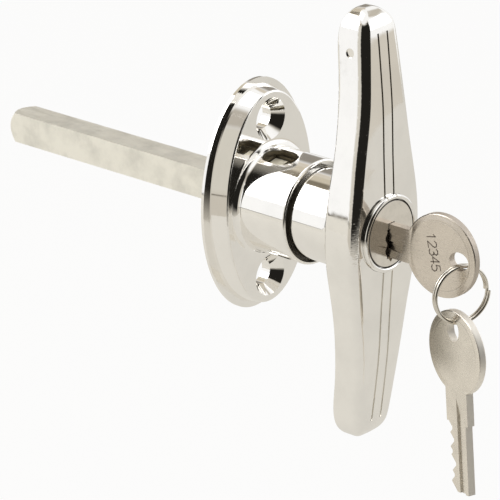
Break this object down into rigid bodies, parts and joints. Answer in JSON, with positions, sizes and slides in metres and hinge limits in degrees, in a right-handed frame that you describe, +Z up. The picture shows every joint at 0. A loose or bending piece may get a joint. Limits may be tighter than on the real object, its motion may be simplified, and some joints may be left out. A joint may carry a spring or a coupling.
{
  "type": "garage door handle lock",
  "caption": "Keyed T-handle lock with an oval rosette, wafer cylinder, square shaft, and keys on a split ring, for a garage door.",
  "frame": {"origin": "centre of the rosette's back face, midway between the screw holes, on the shaft's axis", "axes": "+Y along the shaft into the door, -Y towards the user, +Z up along the grip, +X right seen from the front"},
  "size_m": [0.0394, 0.16, 0.1153],
  "materials": {
    "chrome_plate": "bright chrome plate on cast zinc",
    "nickel_plate": "nickel plate, satin",
    "key_nickel": "nickel-plated brass, satin",
    "ring_nickel": "nickel-plated spring steel",
    "wafer_brass": "bare brass",
    "zinc_steel": "zinc-plated steel, satin",
    "spring_steel": "bare spring steel",
    "zinc_cast": "die-cast zinc, as cast"
  },
  "bodies": {
    "rosette_body": {"rosette": "chrome_plate", "thrust_washer": "zinc_steel"},
    "handle": {"t_handle": "chrome_plate", "cylinder_shell": "chrome_plate", "square_shaft": "zinc_steel", "shaft_pin": "spring_steel", "retaining_ring": "spring_steel"},
    "plug": {"lock_plug": "nickel_plate", "plug_clip": "spring_steel", "drive_cam": "zinc_cast", "wafer_1": "wafer_brass", "wafer_2": "wafer_brass", "wafer_3": "wafer_brass", "wafer_4": "wafer_brass", "wafer_5": "wafer_brass", "wafer_spring_1": "spring_steel", "wafer_spring_2": "spring_steel", "wafer_spring_3": "spring_steel", "wafer_spring_4": "spring_steel", "wafer_spring_5": "spring_steel"},
    "bolt": {"locking_bolt": "zinc_cast"},
    "key": {"key": "key_nickel"},
    "ring": {"split_ring": "ring_nickel"},
    "spare": {"spare_key": "key_nickel"}
  },
  "joints": [
    {"name": "handle_turn", "type": "hinge", "parent": "rosette_body", "child": "handle", "pos_m": [0, 0, 0], "axis": [0, -1, 0], "range_deg": [-90, 90]},
    {"name": "plug_turn", "type": "hinge", "parent": "handle", "child": "plug", "pos_m": [0, -0.044, 0], "axis": [0, -1, 0], "range_deg": [0, 90]},
    {"name": "bolt_slide", "type": "slide", "parent": "handle", "child": "bolt", "axis": [-0.2164, 0, 0.9763], "range_m": [0, 0.0017]},
    {"name": "key_withdraw", "type": "slide", "parent": "plug", "child": "key", "axis": [0, -1, 0], "range_m": [0, 0.025]},
    {"name": "ring_swing", "type": "hinge", "parent": "key", "child": "ring", "pos_m": [0, -0.06555, -0.00286], "axis": [-0.9205, 0.3907, 0], "range_deg": [-12, 45]},
    {"name": "spare_key_swing", "type": "hinge", "parent": "ring", "child": "spare", "pos_m": [-0.00138, -0.06548, -0.01694], "axis": [-0.9205, 0.3907, 0], "range_deg": [-12, 45]}
  ],
  "couplings": [
    {"joint": "bolt_slide", "follows": "plug_turn", "m_per_rad": 0.0010822}
  ]
}
